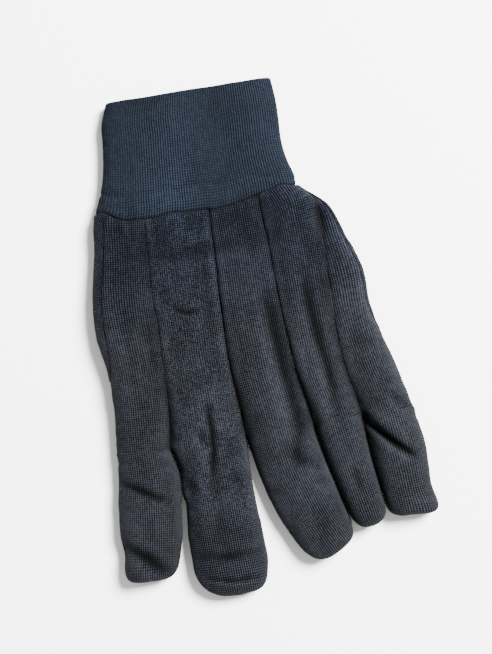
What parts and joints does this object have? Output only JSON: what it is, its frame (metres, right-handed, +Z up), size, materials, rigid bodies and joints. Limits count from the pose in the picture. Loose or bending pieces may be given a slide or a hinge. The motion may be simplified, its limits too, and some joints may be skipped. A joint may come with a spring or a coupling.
{
  "type": "cotton work glove",
  "caption": "Right-hand cotton jersey work glove, lying flat with its back up, with sewn back strips and a rib-knit cuff.",
  "frame": {"origin": "under the middle of the glove's outline, on the surface it lies on", "axes": "+Y from the fingertips to the cuff's mouth, +X towards the thumb, +Z up out of the glove's back"},
  "size_m": [0.1614, 0.2566, 0.0171],
  "materials": {
    "jersey": "matt, slightly fuzzy",
    "rib_knit": "matt"
  },
  "bodies": {
    "root": {"cuff": "rib_knit", "palm": "jersey", "back_little": "jersey", "back_ring": "jersey", "back_middle": "jersey", "back_index": "jersey", "back_thumb": "jersey"}
  },
  "joints": []
}
